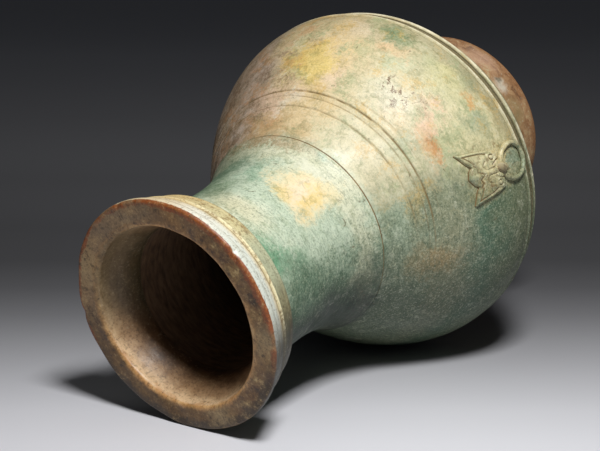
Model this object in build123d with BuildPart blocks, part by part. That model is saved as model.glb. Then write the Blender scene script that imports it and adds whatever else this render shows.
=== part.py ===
from build123d import *

import os
from math import asin, atan2, cos, degrees, radians, sin

# A glazed earthenware storage jar, made of thrown sections and press-moulded ornaments luted together.
# Sizes are in millimetres and angles in degrees. The jar stands on Z = 0 with its axis on Z, and its
# mask handles face -Y and +Y. A profile is drawn as (radius, height).

# Thrown sections, from the floor up
foot_height = 48.5
lower_body_height = 76.0
upper_body_height = 124.5
neck_height = 110.0
collar_height = 35.0
lute_thickness = 1.5

# Outer radii where the sections meet, and at the foot's edge
foot_radius = 86.5
waist_radius = 79.0
belly_seam_radius = 138.8
neck_base_radius = 79.6
neck_top_radius = 64.6

# Walls, and the widths of the flat faces that are luted together
foot_wall = 9.0
body_wall = 9.0
neck_wall = 8.5
floor_thickness = 10.0
waist_seam_width = 12.0
belly_seam_width = 9.2
neck_seam_width = 10.0
tool_line_depth = 1.0

# Curves of the sections: the direction at each end, and how far each end pulls the curve along it
foot_edge_height = 7.0
foot_edge_angle, foot_edge_pull = 100.0, 14.0
foot_top_angle, foot_top_pull = 92.0, 14.0
bowl_base_angle, bowl_base_pull = 18.0, 24.0
bowl_top_angle, bowl_top_pull = 80.0, 18.0
shoulder_base_angle, shoulder_base_pull = 72.0, 47.0
shoulder_top_angle, shoulder_top_pull = 115.0, 20.0
neck_base_angle, neck_base_pull = 119.8, 40.5
neck_top_angle, neck_top_pull = 89.3, 41.6

# Dish mouth: how far each step stands out past the one below it, and their heights over the collar's base
collar_overhang = 10.8
collar_step = 4.2
lip_step = 5.4
collar_bead_height = 15.0
collar_bead_radius = 1.3
collar_bead_rise = 0.7
lip_edge_thickness = 5.0
lip_edge_round = 1.6
lip_width = 19.0
lip_inner_round = 1.6
mouth_top_pull, mouth_base_pull = 12.0, 16.0

# Tooled lines: the belly band's two beads, and the three grooves on the shoulder
bead_radius = 2.2
bead_rise = 1.2
bead_to_seam = 6.0
groove_radius = 1.6
groove_depth = 0.9
groove_drop = 22.0
groove_steps = (0.0, 7.4, 11.1)

# Beast mask: half outline from the crest to the chin, measured down from the crest's peak
mask_drop = 61.0
mask_thickness = 2.6
mask_lute_thickness = 0.8
seat_clearance = 0.15
crest_half_width, crest_shoulder_drop = 5.5, 2.3
notch_half_width, notch_drop = 8.0, 5.0
horn_root_half_width, horn_root_drop = 10.5, 2.8
horn_tip_half_width, horn_tip_rise = 19.8, 1.0
cheek_half_width, cheek_drop = 18.0, 12.5
jaw_half_width, jaw_drop = 14.5, 25.0
chin_drop = 26.0
eye_radius = 2.8
eye_half_spacing, eye_drop = 10.4, 20.6
nose_radius = 4.5
nose_drop = 25.5
nose_stand = 3.0

# Relief ring, which hangs in front of the wall from the nose
ring_radius = 13.4
ring_tube_radius = 1.8
ring_stand = 0.15
ring_drop = 40.0

# Heights of the joints, worked out from the floor up
waist_base = foot_height + lute_thickness
belly_seam = waist_base + lower_body_height
shoulder_base = belly_seam + lute_thickness
neck_seam = shoulder_base + upper_body_height
neck_base = neck_seam + lute_thickness
collar_seam = neck_base + neck_height
collar_base = collar_seam + lute_thickness
lip_top = collar_base + collar_height


def pulled(low, low_angle, low_pull, high, high_angle, high_pull):
    """Four points of a cubic curve: its ends, and each end moved along its own direction."""
    leave = (low[0] + low_pull * cos(radians(low_angle)), low[1] + low_pull * sin(radians(low_angle)))
    arrive = (high[0] - high_pull * cos(radians(high_angle)), high[1] - high_pull * sin(radians(high_angle)))
    return [low, leave, arrive, high]


def beside(points, distance, first, last, count):
    """Points beside a cubic profile curve, moved square to it towards the axis (or outward if negative)."""
    curve = Bezier(*points, mode=Mode.PRIVATE)
    places = []
    for index in range(count):
        along = first + (last - first) * index / (count - 1)
        direction = curve % along
        place = curve @ along
        places.append((place.X - distance * direction.Y, place.Y + distance * direction.X))
    return places


def at_height(points, height):
    """Point of a rising profile curve at a height, found by halving."""
    curve = Bezier(*points, mode=Mode.PRIVATE)
    low, high = 0.0, 1.0
    for _ in range(40):
        middle = (low + high) / 2
        if (curve @ middle).Y < height:
            low = middle
        else:
            high = middle
    return curve @ low


def slope_at(points, height):
    """Direction of a rising profile curve at a height."""
    step = 0.5
    here = at_height(points, height)
    above = at_height(points, height + step)
    return Vector(above.X - here.X, above.Y - here.Y).normalized()


def inward(points, distance, height):
    """Point inside a profile curve at a height, at a distance square to the curve's slope there."""
    here = at_height(points, height)
    slope = slope_at(points, height)
    return (here.X - distance * slope.Y, here.Y + distance * slope.X)


foot_curve = pulled(
    (foot_radius, foot_edge_height), foot_edge_angle, foot_edge_pull,
    (waist_radius, foot_height), foot_top_angle, foot_top_pull,
)
bowl_curve = pulled(
    (waist_radius, waist_base), bowl_base_angle, bowl_base_pull,
    (belly_seam_radius, belly_seam), bowl_top_angle, bowl_top_pull,
)
shoulder_curve = pulled(
    (belly_seam_radius, shoulder_base), shoulder_base_angle, shoulder_base_pull,
    (neck_base_radius, neck_seam), shoulder_top_angle, shoulder_top_pull,
)
neck_curve = pulled(
    (neck_base_radius, neck_base), neck_base_angle, neck_base_pull,
    (neck_top_radius, collar_seam), neck_top_angle, neck_top_pull,
)

os.makedirs("parts", exist_ok=True)

# Foot ring: a flared, hollow foot with an upright edge
with BuildPart() as foot_ring:
    with BuildSketch(Plane.XZ):
        with BuildLine():
            outside = Bezier(*foot_curve)
            inside = Spline(
                (foot_radius - foot_wall, 0),
                *beside(foot_curve, foot_wall, first=0.2, last=0.8, count=5),
                (waist_radius - waist_seam_width, foot_height),
            )
            Line((foot_radius, 0), outside @ 0)
            Line((foot_radius, 0), inside @ 0)
            Line(outside @ 1, inside @ 1)
        make_face()
    revolve(axis=Axis.Z)
foot_ring.part.label = "foot_ring"
export_step(foot_ring.part, "parts/foot_ring.step")

# Lower body: a thrown bowl with the jar's floor, and the belly band's lower bead near its edge
lower_bead = at_height(bowl_curve, belly_seam - bead_to_seam)
with BuildPart() as lower_body:
    with BuildSketch(Plane.XZ):
        with BuildLine():
            outside = Bezier(*bowl_curve)
            floor_edge = (waist_radius - waist_seam_width, waist_base + floor_thickness)
            inside = Spline(
                floor_edge,
                *beside(bowl_curve, body_wall, first=0.35, last=0.9, count=6),
                (belly_seam_radius - belly_seam_width, belly_seam),
                tangents=((1, 0), (cos(radians(bowl_top_angle)), sin(radians(bowl_top_angle)))),
            )
            Polyline(outside @ 0, (0, waist_base), (0, waist_base + floor_thickness), floor_edge)
            Line(outside @ 1, inside @ 1)
        make_face()
    revolve(axis=Axis.Z)
    with BuildSketch(Plane.XZ):
        with Locations((lower_bead.X + bead_rise - bead_radius, lower_bead.Y)):
            Circle(bead_radius)
    revolve(axis=Axis.Z)
lower_body.part.label = "lower_body"
export_step(lower_body.part, "parts/lower_body.step")

# Upper body: the shoulder, with the belly band's upper bead and the grooves tooled below the neck
upper_bead = at_height(shoulder_curve, shoulder_base + bead_to_seam)
groove_heights = [neck_seam - groove_drop - step for step in groove_steps]
groove_places = [inward(shoulder_curve, groove_depth - groove_radius, height) for height in groove_heights]
with BuildPart() as upper_body:
    with BuildSketch(Plane.XZ):
        with BuildLine():
            outside = Bezier(*shoulder_curve)
            inside = Spline(
                (belly_seam_radius - belly_seam_width, shoulder_base),
                *beside(shoulder_curve, body_wall, first=0.12, last=0.88, count=7),
                (neck_base_radius - neck_seam_width, neck_seam),
            )
            Line(outside @ 0, inside @ 0)
            Line(outside @ 1, inside @ 1)
        make_face()
    revolve(axis=Axis.Z)
    with BuildSketch(Plane.XZ):
        with Locations((upper_bead.X + bead_rise - bead_radius, upper_bead.Y)):
            Circle(bead_radius)
    revolve(axis=Axis.Z)
    with BuildSketch(Plane.XZ):
        with Locations(*groove_places):
            Circle(groove_radius)
    revolve(axis=Axis.Z, mode=Mode.SUBTRACT)
upper_body.part.label = "upper_body"
export_step(upper_body.part, "parts/upper_body.step")

# Neck: a trumpet that flares down into the shoulder
with BuildPart() as neck:
    with BuildSketch(Plane.XZ):
        with BuildLine():
            outside = Bezier(*neck_curve)
            inside = Spline(
                (neck_base_radius - neck_seam_width, neck_base),
                *beside(neck_curve, neck_wall, first=0.12, last=0.88, count=7),
                (neck_top_radius - neck_wall, collar_seam),
            )
            Line(outside @ 0, inside @ 0)
            Line(outside @ 1, inside @ 1)
        make_face()
    revolve(axis=Axis.Z)
neck.part.label = "neck"
export_step(neck.part, "parts/neck.step")

# Mouth collar: a stepped band, a bead and an overhanging flat lip, with a funnel down to the neck
collar_radius = neck_top_radius + collar_overhang
step_radius = collar_radius + collar_step
lip_radius = step_radius + lip_step
mouth_radius = lip_radius - lip_width
with BuildPart() as mouth_collar:
    with BuildSketch(Plane.XZ):
        with BuildLine():
            throat = (neck_top_radius - neck_wall, collar_base)
            mouth_edge = (mouth_radius, lip_top - lip_inner_round)
            Line(throat, (collar_radius, collar_base))
            Polyline(
                (collar_radius, collar_base),
                (step_radius, collar_base + collar_bead_height),
                (lip_radius, lip_top - lip_edge_thickness),
                (lip_radius, lip_top - lip_edge_round),
            )
            RadiusArc(
                (lip_radius, lip_top - lip_edge_round),
                (lip_radius - lip_edge_round, lip_top),
                -lip_edge_round,
            )
            Line((lip_radius - lip_edge_round, lip_top), (mouth_radius + lip_inner_round, lip_top))
            RadiusArc((mouth_radius + lip_inner_round, lip_top), mouth_edge, -lip_inner_round)
            Bezier(
                mouth_edge,
                (mouth_edge[0], mouth_edge[1] - mouth_top_pull),
                (throat[0], throat[1] + mouth_base_pull),
                throat,
            )
        make_face()
    revolve(axis=Axis.Z)
    with BuildSketch(Plane.XZ):
        bead_centre_radius = step_radius + collar_bead_rise - collar_bead_radius
        with Locations((bead_centre_radius, collar_base + collar_bead_height)):
            Circle(collar_bead_radius)
    revolve(axis=Axis.Z)
mouth_collar.part.label = "mouth_collar"
export_step(mouth_collar.part, "parts/mouth_collar.step")

# Luting clay: a thin ring in each joint, drawn back from the outside where a line is tooled over it
seams = {
    "lute_foot": (foot_height, waist_radius, waist_seam_width, 0),
    "lute_belly": (belly_seam, belly_seam_radius, belly_seam_width, tool_line_depth),
    "lute_neck": (neck_seam, neck_base_radius, neck_seam_width, tool_line_depth),
    "lute_collar": (collar_seam, neck_top_radius, neck_wall, 0),
}
for seam_name, (height, radius, width, setback) in seams.items():
    with BuildPart() as lute:
        with BuildSketch(Plane.XY.offset(height)):
            Circle(radius - setback)
            Circle(radius - width, mode=Mode.SUBTRACT)
        extrude(amount=lute_thickness)
    lute.part.label = seam_name
    export_step(lute.part, f"parts/{seam_name}.step")


def shoulder_envelope(stand):
    """Solid inside the shoulder's outer face, swollen outward by a stand, in narrow cone bands."""
    with BuildPart() as envelope:
        with BuildSketch(Plane.XZ):
            with BuildLine():
                face = Polyline(*beside(shoulder_curve, -stand, first=0.0, last=1.0, count=29))
                low, high = face @ 0, face @ 1
                Polyline(low, (0, low.Y), (0, high.Y), high)
            make_face()
        revolve(axis=Axis.Z)
    return envelope.part


# Beast mask: a press-moulded plaque with horns, a crest, eyes and a round nose, seated on the wall
crest_peak = neck_seam - mask_drop
reach = 2 * belly_seam_radius
half_outline = [
    (0, crest_peak),
    (crest_half_width, crest_peak - crest_shoulder_drop),
    (notch_half_width, crest_peak - notch_drop),
    (horn_root_half_width, crest_peak - horn_root_drop),
    (horn_tip_half_width, crest_peak + horn_tip_rise),
    (cheek_half_width, crest_peak - cheek_drop),
    (jaw_half_width, crest_peak - jaw_drop),
    (0, crest_peak - chin_drop),
]
with BuildSketch(Plane.XZ) as mask_outline:
    with BuildLine():
        Polyline(*half_outline)
        mirror(about=Plane.YZ)
    make_face()

pad_stand = seat_clearance + mask_lute_thickness
plaque_stand = pad_stand + mask_thickness
wall_face = shoulder_envelope(seat_clearance)
pad_face = shoulder_envelope(pad_stand)
plaque_face = shoulder_envelope(plaque_stand)

with BuildPart() as mask_prism:
    extrude(mask_outline.sketch, amount=reach)

with BuildPart() as mask_lute:
    add(mask_prism.part)
    add(pad_face, mode=Mode.INTERSECT)
    add(wall_face, mode=Mode.SUBTRACT)


def boss(across, height, stand, depth, radius):
    """Ball cut flat at a depth behind its centre, which stands off the wall; also gives that centre."""
    slope = slope_at(shoulder_curve, height)
    out, up = inward(shoulder_curve, -stand, height)
    seat = Plane(origin=(across, -out, up), x_dir=(1, 0, 0), z_dir=(0, -slope.Y, -slope.X))
    with BuildPart() as ball:
        with Locations(seat):
            Sphere(radius, arc_size1=-degrees(asin(depth / radius)), align=None)
    return ball.part, seat.origin


nose_height = crest_peak - nose_drop
eye_height = crest_peak - eye_drop
nose, nose_centre = boss(0, nose_height, nose_stand, nose_stand - pad_stand - seat_clearance, nose_radius)
with BuildPart() as mask:
    add(mask_prism.part)
    add(plaque_face, mode=Mode.INTERSECT)
    add(pad_face, mode=Mode.SUBTRACT)
    add(nose)
    for across in (-eye_half_spacing, eye_half_spacing):
        eye, _ = boss(across, eye_height, plaque_stand, mask_thickness / 2, eye_radius)
        add(eye)

# Relief ring: hangs from the nose and leans with the wall, its ends against the plaque and the nose.
# It is brought in square to the wall, until its back stands off the wall or the belly band as named.
ring_height = crest_peak - ring_drop
ring_slope = slope_at(shoulder_curve, ring_height)
ring_lean = degrees(atan2(ring_slope.Y, -ring_slope.X))
ring_offset = ring_radius
for _ in range(4):
    ring_out, ring_up = inward(shoulder_curve, -ring_offset, ring_height)
    ring_place = Location((0, -ring_out, ring_up), (ring_lean, 0, 0))
    whole_ring = ring_place * Solid.make_torus(ring_radius, ring_tube_radius)
    free = min(whole_ring.distance_to(section.part) for section in (upper_body, lower_body))
    ring_offset = ring_offset - free + ring_stand
with BuildPart() as ring:
    add(whole_ring)
    add(mask_prism.part, mode=Mode.SUBTRACT)
    with Locations(nose_centre):
        Sphere(nose_radius + seat_clearance, mode=Mode.SUBTRACT)

# The two handles are alike and stand opposite each other
for side, turn in (("front", 0), ("back", 180)):
    for piece_name, piece in (("mask", mask.part), ("ring", ring.part), ("lute_mask", mask_lute.part)):
        handle = piece.rotate(Axis.Z, turn)
        handle.label = f"{piece_name}_{side}"
        export_step(handle, f"parts/{handle.label}.step")
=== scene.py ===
from functools import partial

import bpy
import numpy as np
from mathutils import Matrix, Vector


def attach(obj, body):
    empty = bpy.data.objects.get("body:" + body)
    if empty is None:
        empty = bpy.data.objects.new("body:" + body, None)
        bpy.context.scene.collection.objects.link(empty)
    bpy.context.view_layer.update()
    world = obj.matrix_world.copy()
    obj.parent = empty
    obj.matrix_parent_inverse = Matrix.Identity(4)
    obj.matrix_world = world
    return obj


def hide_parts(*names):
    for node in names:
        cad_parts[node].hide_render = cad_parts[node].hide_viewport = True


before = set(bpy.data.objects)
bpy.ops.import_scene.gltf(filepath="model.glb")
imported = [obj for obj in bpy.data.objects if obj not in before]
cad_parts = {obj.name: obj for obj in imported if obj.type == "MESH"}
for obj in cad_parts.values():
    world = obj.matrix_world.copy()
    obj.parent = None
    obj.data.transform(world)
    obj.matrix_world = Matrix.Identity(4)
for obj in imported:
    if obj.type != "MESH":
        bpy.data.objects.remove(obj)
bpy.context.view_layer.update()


# Camera: it looks down over the jar's mouth at a jar that lies on its side on a studio table.
# It stands level, so the table's upright direction is also the picture's.
table_up = Vector((0.9404, -0.2625, -0.2162)).normalized()
camera_place = Vector((0.2042, -0.6039, 0.9480))
look = Vector((-0.2113, 0.6351, -0.7430)).normalized()
across = look.cross(table_up).normalized()
picture_up = across.cross(look)
scene = bpy.context.scene
camera_data = bpy.data.cameras.new("camera")
camera_data.sensor_width = 36.0
camera_data.lens = 74.5
camera = bpy.data.objects.new("camera", camera_data)
turn = Matrix((across, picture_up, -look)).transposed()
camera.matrix_world = Matrix.Translation(camera_place) @ turn.to_4x4()
scene.collection.objects.link(camera)
scene.camera = camera
scene.view_settings.view_transform = "Standard"


# Table: a wide sheet of pale card that the jar's lip and belly touch. Its tone is painted light and shade:
# a painted pool of light in front of the jar, painted shade behind it, and paler again far off, painted
# where the lamps hardly reach. It is one-sided, so that a view from under it still shows the jar.
class Finish:
    """A material's nodes, with one short call for each kind of node that the finishes here are made of."""

    def __init__(self, name):
        self.material = bpy.data.materials.new(name)
        self.material.use_nodes = True
        self.nodes = self.material.node_tree.nodes
        self.links = self.material.node_tree.links
        self.shader = self.nodes["Principled BSDF"]
        self.where = self.add("TexCoord").outputs["Object"]

    def add(self, kind, sockets=None, **settings):
        """New shader node: its settings, then its inputs by name or number, each a value or an output."""
        node = self.nodes.new("ShaderNode" + kind)
        for setting, value in settings.items():
            setattr(node, setting, value)
        for key, value in (sockets or {}).items():
            self.give(node.inputs[key], value)
        return node

    def give(self, socket, value):
        """Links an output to a socket, or sets the socket's own value."""
        if isinstance(value, bpy.types.NodeSocket):
            self.links.new(value, socket)
        else:
            socket.default_value = value

    def sum(self, operation, first, second=0.0, clamp=False):
        """Arithmetic on two numbers."""
        node = self.add("Math", {0: first, 1: second}, operation=operation, use_clamp=clamp)
        return node.outputs[0]

    def times(self, first, second):
        """Product of two numbers, such as the shares of two covers."""
        return self.sum("MULTIPLY", first, second)

    def vector(self, operation, first, second=(0.0, 0.0, 0.0), output="Vector"):
        """Arithmetic on two places or directions."""
        node = self.add("VectorMath", {0: first, 1: second}, operation=operation)
        return node.outputs[output]

    def step(self, value, start, end, high=1.0, low=0.0):
        """Smooth step: low before start, high after end."""
        sockets = {"Value": value, "From Min": start, "From Max": end, "To Min": low, "To Max": high}
        node = self.add("MapRange", sockets, interpolation_type="SMOOTHSTEP")
        return node.outputs["Result"]

    def mix(self, cover, under, over, blend="MIX"):
        """One colour laid over another, by a cover from 0 to 1."""
        node = self.add("Mix", data_type="RGBA", blend_type=blend)
        self.give(node.inputs[0], cover)
        self.give(node.inputs[6], under)
        self.give(node.inputs[7], over)
        return node.outputs[2]

    def lay(self, under, *layers):
        """Display colours laid over another colour in turn, each (cover, red, green, blue)."""
        for cover, red, green, blue in layers:
            under = self.mix(cover, under, colour(red, green, blue))
        return under

    def cloud(self, size, where=None, detail=3.0, rough=0.55, flat=None, output="Fac"):
        """Noise with blotches of about that size in mm, pressed along Z to a flat share of their height."""
        spot = self.where if where is None else where
        if flat is not None:
            spot = self.vector("MULTIPLY", spot, (1.0, 1.0, 1.0 / flat))
        sockets = {"Vector": spot, "Scale": 500.0 / size, "Detail": detail, "Roughness": rough}
        return self.add("TexNoise", sockets).outputs[output]

    def attribute(self, name):
        """Number stored on the mesh under that name."""
        return self.add("Attribute", attribute_name=name).outputs["Fac"]

    def fade(self, value, *stops):
        """Colour ramp through (place, colour) stops."""
        node = self.add("ValToRGB", {"Fac": value})
        ramp = node.color_ramp
        while len(ramp.elements) < len(stops):
            ramp.elements.new(0.5)
        for element, (place, tint) in zip(ramp.elements, stops):
            element.position = place
            element.color = tint
        return node.outputs["Color"]


def colour(red, green, blue):
    """Display colour in bytes as the linear colour that a shader takes."""
    share = np.array((red, green, blue)) / 255.0
    linear = np.where(share <= 0.04045, share / 12.92, ((share + 0.055) / 1.055) ** 2.4)
    return (*linear.tolist(), 1.0)


table_level = -0.16945
jar_middle = Vector((-0.0034, 0.0200, 0.2180))
under_jar = jar_middle + table_up * (table_level - jar_middle.dot(table_up))
ahead = (look - table_up * look.dot(table_up)).normalized()
table_half = 30.0
table_corners = [
    under_jar + across * (side * table_half) + ahead * (depth * table_half)
    for side, depth in ((-1, -1), (1, -1), (1, 1), (-1, 1))
]
table_mesh = bpy.data.meshes.new("table")
table_mesh.from_pydata([tuple(corner) for corner in table_corners], [], [(0, 1, 2, 3)])
table = bpy.data.objects.new("table", table_mesh)
scene.collection.objects.link(table)

card = Finish("card_with_painted_light")
along_table = card.vector("DOT_PRODUCT", card.where, tuple(ahead), "Value")
distance = card.sum("SUBTRACT", along_table, camera_place.dot(ahead))
camera_height = camera_place.dot(table_up) - table_level
steepness = card.sum("DIVIDE", camera_height, distance)
# Painted light and shade on the card, by how steeply the camera looks down at it.
painted_light_tones = (
    (0.030, 0.86), (0.070, 0.90), (0.120, 0.52), (0.170, 0.25), (0.210, 0.145), (0.238, 0.12), (0.262, 0.16),
    (0.285, 0.25), (0.310, 0.39), (0.340, 0.54), (0.370, 0.67), (0.400, 0.73),
)
card_tint = (0.98, 0.98, 1.03)
painted_light_stops = [(place, (*[grey * share for share in card_tint], 1.0)) for place, grey in painted_light_tones]
painted_light_tone = card.fade(steepness, *painted_light_stops)
card.give(card.shader.inputs["Base Color"], painted_light_tone)
card.shader.inputs["Roughness"].default_value = 0.75
card.shader.inputs["Specular IOR Level"].default_value = 0.2
side = card.add("NewGeometry").outputs["Backfacing"]
clear = card.add("BsdfTransparent").outputs["BSDF"]
one_sided = card.add("MixShader", {0: side, 1: card.shader.outputs["BSDF"], 2: clear})
card.links.new(one_sided.outputs["Shader"], card.nodes["Material Output"].inputs["Surface"])
table_mesh.materials.append(card.material)


# Light: a soft box above the camera and to its right, a wider and weaker one over the jar, and the dim studio
# round them.
def soft_box(name, rightward, forward, height, width, power):
    """Square lamp at a place over the table, measured from under the jar, turned to face the jar's middle."""
    lamp_data = bpy.data.lights.new(name, "AREA")
    lamp_data.shape = "SQUARE"
    lamp_data.size = width
    lamp_data.energy = power
    lamp = bpy.data.objects.new(name, lamp_data)
    place = under_jar + across * rightward + ahead * forward + table_up * height
    facing = (jar_middle - place).to_track_quat("-Z", "Y").to_matrix()
    lamp.matrix_world = Matrix.Translation(place) @ facing.to_4x4()
    scene.collection.objects.link(lamp)


soft_box("key_over_camera", rightward=0.125, forward=-0.62, height=0.85, width=0.19, power=10.2)
soft_box("soft_box_over", rightward=-0.10, forward=0.15, height=1.25, width=0.9, power=0.45)
studio = bpy.data.worlds.new("studio")
studio.use_nodes = True
studio.node_tree.nodes["Background"].inputs["Color"].default_value = (0.88, 0.92, 1.0, 1.0)
studio.node_tree.nodes["Background"].inputs["Strength"].default_value = 0.020
scene.world = studio


# Foot ring: a flared, hollow foot, thrown on the wheel by itself and luted under the bowl.
# Its thin brown glaze lets the terracotta show, most of all along the edge that it stands on.
def bend(low, low_angle, low_pull, high, high_angle, high_pull, count=600):
    """Cubic curve in mm: each end leaves at its own angle and is pulled along it by a length."""
    low_way = np.array((np.cos(np.radians(low_angle)), np.sin(np.radians(low_angle))))
    high_way = np.array((np.cos(np.radians(high_angle)), np.sin(np.radians(high_angle))))
    first, last = np.array(low), np.array(high)
    second, third = first + low_pull * low_way, last - high_pull * high_way
    t = np.linspace(0.0, 1.0, count)[:, None]
    return (1 - t) ** 3 * first + 3 * (1 - t) ** 2 * t * second + 3 * (1 - t) * t**2 * third + t**3 * last


def beside(profile, distance):
    """Profile moved square to its own slope, outward for a positive distance in mm."""
    slope = np.gradient(profile, axis=0)
    slope /= np.linalg.norm(slope, axis=1)[:, None]
    square = np.column_stack((slope[:, 1], -slope[:, 0]))
    return profile + np.reshape(distance, (-1, 1)) * square


def tooled(profile, marks, spacing=1.5, fine=0.3):
    """Profile with tooled marks, each (height, half width, rise) a bell curve square to the wall.

    Rows lie a spacing apart and crowd to the fine spacing around a mark. Also returns how hollow each row is,
    and the rows as they were before the marks.
    """
    reach = np.concatenate(([0.0], np.cumsum(np.linalg.norm(np.diff(profile, axis=0), axis=1))))
    crowd = np.full(len(profile), 1.0 / spacing)
    for height, half_width, _ in marks:
        crowd += np.exp(-(((profile[:, 1] - height) / (3 * half_width)) ** 2)) / fine
    count = np.concatenate(([0.0], np.cumsum(0.5 * (crowd[1:] + crowd[:-1]) * np.diff(reach))))
    rows = np.interp(np.linspace(0.0, count[-1], int(count[-1]) + 2), count, reach)
    even = np.column_stack([np.interp(rows, reach, profile[:, axis]) for axis in (0, 1)])
    lift = np.zeros(len(even))
    hollow = np.zeros(len(even))
    for height, half_width, rise in marks:
        bell = np.exp(-(((even[:, 1] - height) / half_width) ** 2))
        lift += rise * bell
        hollow = np.maximum(hollow, bell * np.clip(-rise / 0.6, 0.0, 1.0))
    return beside(even, lift), hollow, even


def wheel_wobble(azimuth, height):
    """How far a thrown wall strays from a true circle, in mm: slow waves round it, and faint finger rings."""
    waves = 0.30 * np.sin(2 * azimuth + 0.9 + height / 95.0)
    waves = waves + 0.18 * np.sin(3 * azimuth - 1.3 - height / 61.0)
    waves = waves + 0.10 * np.sin(5 * azimuth + 2.1 + height / 43.0)
    drift = 2.0 * np.sin(azimuth + height / 30.0)
    return waves + 0.03 * np.sin(1.15 * height + drift) + 0.02 * np.sin(2.3 * height - drift)


def clay_piece(name, points, faces, bare, hollow, sharp_angle):
    """Piece of points in metres on the jar's one body, which keeps how bare and how hollow each point is."""
    mesh = bpy.data.meshes.new(name)
    mesh.from_pydata(points, [], faces)
    # On the ring the hollow layer is painted shadow near the wall.
    for label, values in (("bare", bare), ("hollow", hollow)):
        layer = mesh.attributes.new(label, "FLOAT", "POINT")
        layer.data.foreach_set("value", values.astype(np.float32))
    mesh.shade_smooth()
    mesh.set_sharp_from_angle(angle=np.radians(sharp_angle))
    piece = bpy.data.objects.new(name, mesh)
    scene.collection.objects.link(piece)
    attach(piece, "root")
    return piece


def thrown(name, outside, inside, hollow, columns=400, floor=False, wear=None, bare_inside=True):
    """Thrown section: a closed profile of (radius, height) rows in mm, carried round the axis.

    A point stands at x = r sin(azimuth), y = -r cos(azimuth), where r is the row's radius plus the wobble.
    The outside runs up and the inside back down; with a floor, the first and last rings are closed by a disc.
    """
    rows = np.concatenate((outside, inside[::-1]))
    azimuth = np.linspace(0.0, 2 * np.pi, columns, endpoint=False)
    turned, level = np.meshgrid(azimuth, rows[:, 1])
    radius = np.repeat(rows[:, :1], columns, axis=1)
    radius = radius + wheel_wobble(turned, level) * np.minimum(1.0, radius / 40.0)
    if wear is not None:
        radius, level = wear(turned, radius, level)
    points = np.stack((radius * np.sin(turned), -radius * np.cos(turned), level), axis=-1) / 1000.0
    row_count = len(rows)
    here = np.arange(row_count - 1 if floor else row_count)[:, None]
    above = (here + 1) % row_count
    column = np.arange(columns)[None, :]
    beyond = (column + 1) % columns
    lower, upper = here * columns, above * columns
    corners = (lower + column, lower + beyond, upper + beyond, upper + column)
    faces = np.stack(corners, axis=-1).reshape(-1, 4).tolist()
    if floor:
        faces.append(np.arange(columns)[::-1].tolist())
        faces.append(((row_count - 1) * columns + np.arange(columns)).tolist())
    bare = np.concatenate((np.zeros(len(outside)), np.full(len(inside), float(bare_inside))))
    hollow_rows = np.zeros(row_count)
    hollow_rows[:len(hollow)] = hollow
    layers = (np.repeat(bare, columns), np.repeat(hollow_rows, columns))
    return clay_piece(name, points.reshape(-1, 3), faces, *layers, sharp_angle=38.0)


wall_thickness = 9.0
foot_top = 48.5
foot_top_radius = 79.0
foot_top_inner = 67.0
foot_edge = np.array(((84.9, 0.0), (85.7, 0.25), (86.25, 0.8), (86.5, 1.6), (86.5, 4.0)))
foot_flare = bend((86.5, 7.0), 100.0, 14.0, (foot_top_radius, foot_top), 92.0, 14.0)
foot_outside, foot_hollow, _ = tooled(foot_flare, [(12.0, 1.2, -0.25), (44.0, 2.0, -0.3)])
foot_outside = np.concatenate((foot_edge, foot_outside))
foot_hollow = np.concatenate((np.zeros(len(foot_edge)), foot_hollow))
foot_wall = beside(foot_flare, -wall_thickness)[60:-60:60]
foot_inner_edge = ((78.6, 0.0), (77.8, 0.4), (77.5, 1.2))
foot_inside = np.concatenate((foot_inner_edge, foot_wall, ((foot_top_inner, foot_top),)))
foot_ring = thrown("foot_ring_glazed", foot_outside, foot_inside, foot_hollow, columns=320)
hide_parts("foot_ring")


def ragged(finish, size, amount, where=None, detail=3.0):
    """Position moved about by noise, both in mm, so that what is laid out by it gets a ragged edge."""
    noise = finish.cloud(size, detail=detail, rough=0.6, output="Color")
    centred = finish.vector("SUBTRACT", noise, (0.5, 0.5, 0.5))
    reach = amount / 250.0
    spot = finish.where if where is None else where
    return finish.vector("ADD", spot, finish.vector("MULTIPLY", centred, (reach, reach, reach)))


def height_mm(finish, where):
    """Height of a position over the foot, in mm."""
    level = finish.add("SeparateXYZ", {0: where}).outputs["Z"]
    return finish.times(level, 1000.0)


def wall_radius(height):
    """Rough outer radius of the jar at a height, in mm, along straight runs between its turning points."""
    heights = (0.0, 50.0, 80.0, 126.0, 150.0, 180.0, 215.0, 252.0, 285.0, 363.0, 400.0)
    radii = (86.5, 79.0, 113.0, 138.8, 140.5, 129.5, 107.0, 79.6, 67.5, 64.6, 85.0)
    return float(np.interp(height, heights, radii))


def patches(finish, under, where, spots):
    """Patches over a colour, each (azimuth, height, half width, half height, tint, cover, edge).

    The azimuth is in degrees, the sizes are in mm and the tint is a display colour in bytes. Measured in its
    own half sizes, a patch covers up to 1 - edge from its centre and is gone at 1 + edge; a row that gives no
    edge has the usual one, 0.8.
    """
    for azimuth, height, half_width, half_height, tint, cover, *edges in spots:
        edge = edges[0] if edges else 0.8
        angle = float(np.radians(azimuth))
        radius = wall_radius(height)
        centre = (radius * np.sin(angle) / 1000.0, -radius * np.cos(angle) / 1000.0, height / 1000.0)
        sizes = (half_width / 1000.0, half_width / 250.0, half_height / 1000.0)
        sockets = {"Vector": where, "Location": centre, "Rotation": (0.0, 0.0, angle), "Scale": sizes}
        local = finish.add("Mapping", sockets, vector_type="TEXTURE").outputs[0]
        off = finish.vector("LENGTH", local, output="Value")
        under = finish.mix(finish.step(off, 1.0 + edge, 1.0 - edge, cover), under, colour(*tint))
    return under


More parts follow.
